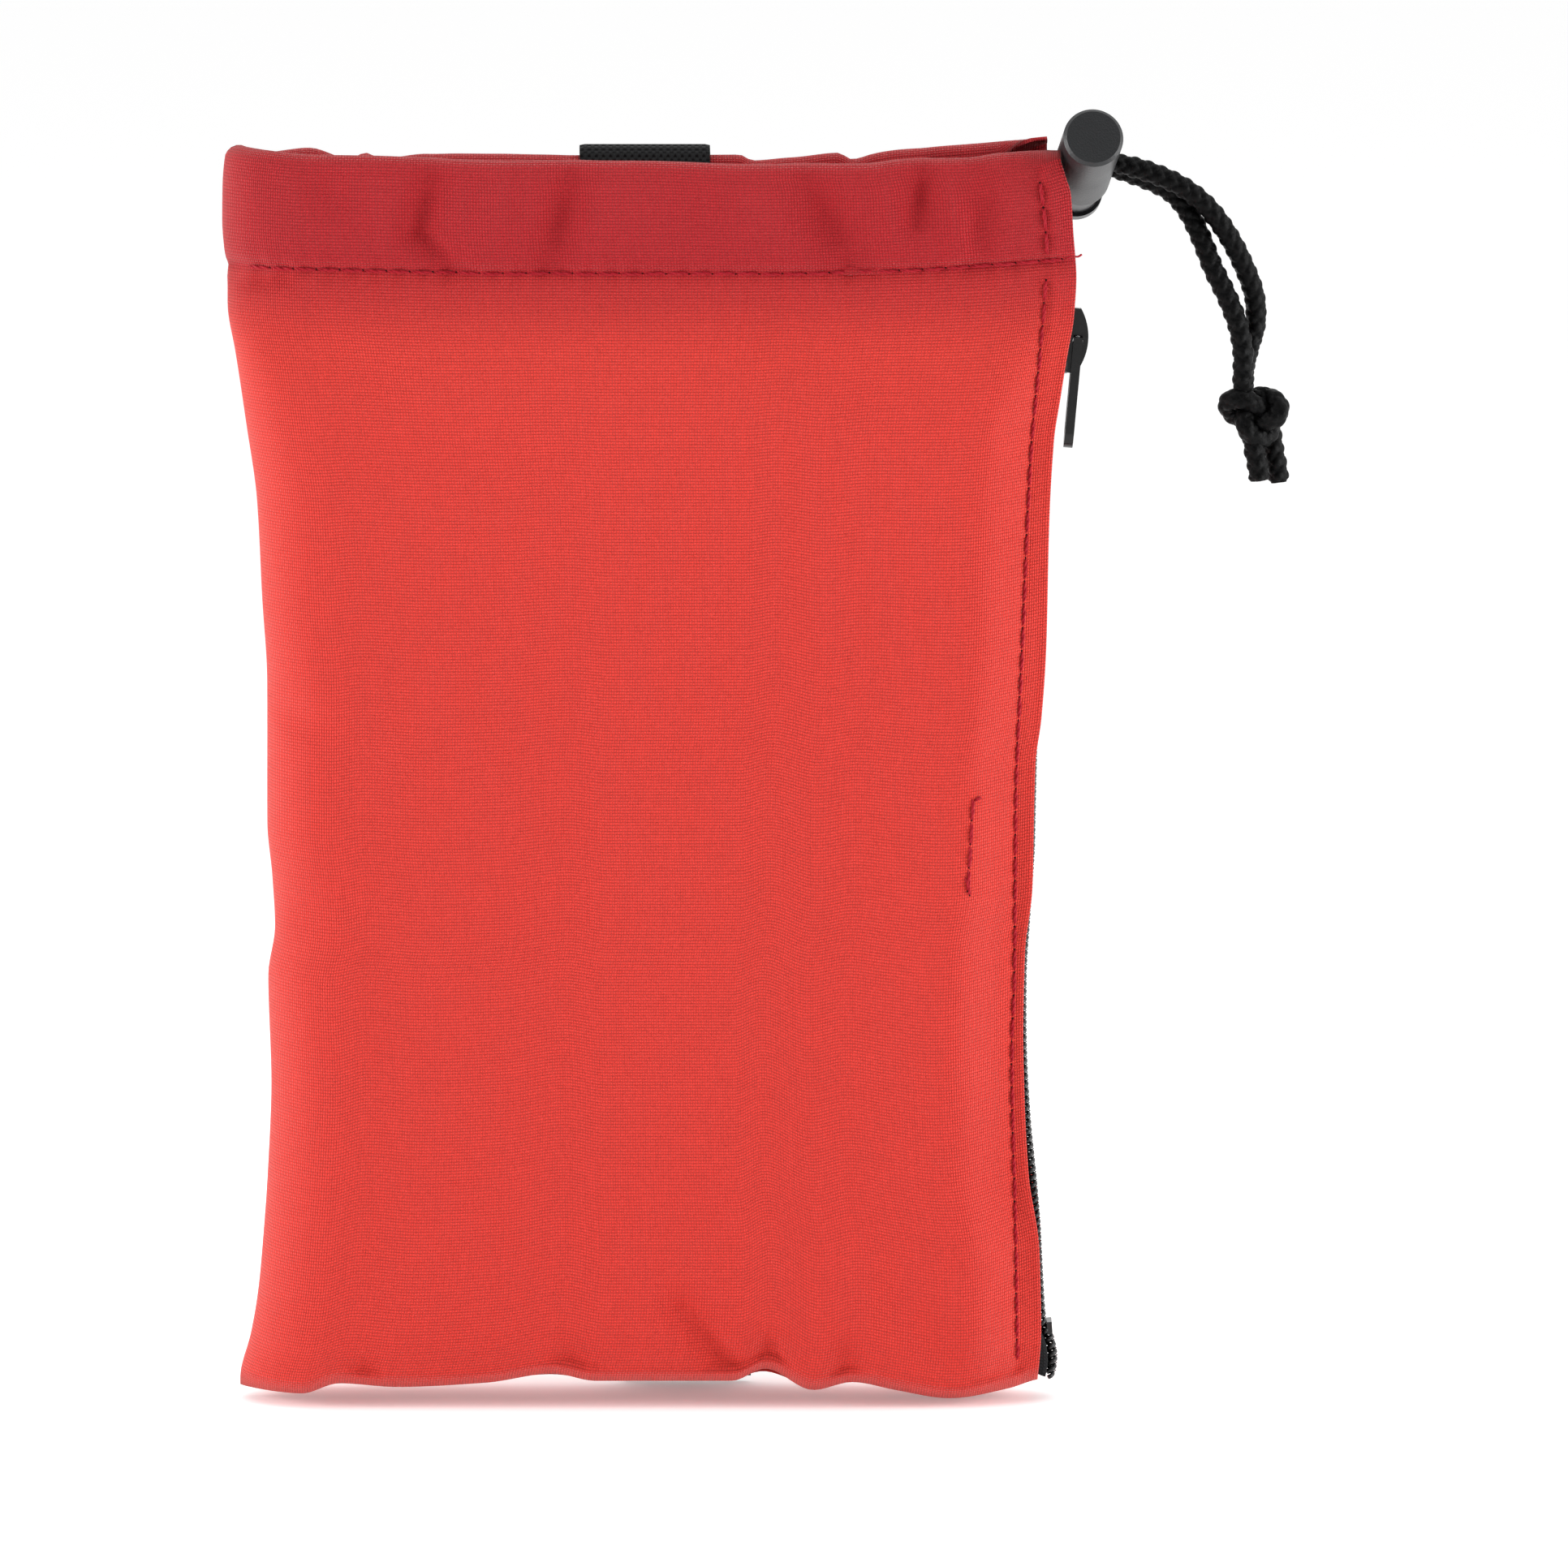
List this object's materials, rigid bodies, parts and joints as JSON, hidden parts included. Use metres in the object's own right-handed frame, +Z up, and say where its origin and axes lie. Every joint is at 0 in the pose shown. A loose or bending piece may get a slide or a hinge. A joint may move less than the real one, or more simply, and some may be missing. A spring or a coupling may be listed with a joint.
{
  "type": "fire blanket",
  "caption": "Folded fire blanket in a red woven drawstring pouch with a side zip, cord lock and a back strap.",
  "frame": {"origin": "middle of the pouch's depth and of its waist, on the surface it stands on (the flat under its bottom seam)", "axes": "+Z up the pouch to its mouth, +X to the zip side, -Y out of the front panel; the back strap is on +Y"},
  "size_m": [0.1638, 0.0311, 0.2008],
  "materials": {
    "red_cloth": "coated woven polyester, plain weave",
    "glass_cloth": "woven glass fibre",
    "black_webbing": "ribbed nylon webbing",
    "red_thread": "polyester sewing thread",
    "black_thread": "polyester sewing thread",
    "zip_tape": "woven polyester tape",
    "zip_coil": "nylon coil",
    "black_metal": "black lacquered zinc",
    "black_cord": "braided polyester cord",
    "black_plastic": "fine spark-eroded texture",
    "spring_steel": "drawn spring wire"
  },
  "bodies": {
    "pouch": {"front_panel": "red_cloth", "back_panel": "red_cloth", "fire_blanket": "glass_cloth", "blanket_pull_tab_left": "black_webbing", "blanket_pull_tab_right": "black_webbing", "hem_stitching_front": "red_thread", "hem_stitching_back": "red_thread", "hem_end_stitching": "red_thread", "zip_stitching_front": "red_thread", "zip_stitching_back": "red_thread", "inner_tab": "black_webbing", "inner_tab_stitching": "red_thread", "zip_tape_front": "zip_tape", "zip_tape_back": "zip_tape", "zip_coil_front": "zip_coil", "zip_coil_back": "zip_coil", "zip_top_stop": "black_metal", "zip_bottom_stop": "black_metal", "back_strap": "black_webbing", "strap_stitching_top": "black_thread", "strap_stitching_bottom": "black_thread", "drawcord_in_hem": "black_cord", "cord_tail_upper": "black_cord", "cord_tail_lower": "black_cord", "cord_knot": "black_cord", "cord_ends": "black_cord"},
    "slider": {"zip_slider": "black_metal"},
    "pull": {"zip_pull": "black_metal"},
    "lock": {"lock_barrel": "black_plastic"},
    "plunger": {"lock_plunger": "black_plastic", "lock_spring": "spring_steel"}
  },
  "joints": [
    {"name": "zip_travel", "type": "hinge", "parent": "pouch", "child": "slider", "pos_m": [1.06399, 0, 0.07448], "axis": [0, -1, 0], "range_deg": [0, 8.41]},
    {"name": "pull_swing", "type": "hinge", "parent": "slider", "child": "pull", "pos_m": [0.06579, 0, 0.16461], "axis": [0, -1, 0], "range_deg": [0, 165]},
    {"name": "lock_travel", "type": "hinge", "parent": "pouch", "child": "lock", "pos_m": [0.067, 0, 0.162], "axis": [0, 1, 0], "range_deg": [0, 30], "deforming": ["cord_tail_upper", "cord_tail_lower"]},
    {"name": "plunger_press", "type": "slide", "parent": "lock", "child": "plunger", "axis": [0.0834, -0.9167, 0.3907], "range_m": [0, 0.0025], "stiffness_N_per_m": 900, "springref_m": -0.002, "deforming": ["lock_spring"]}
  ]
}
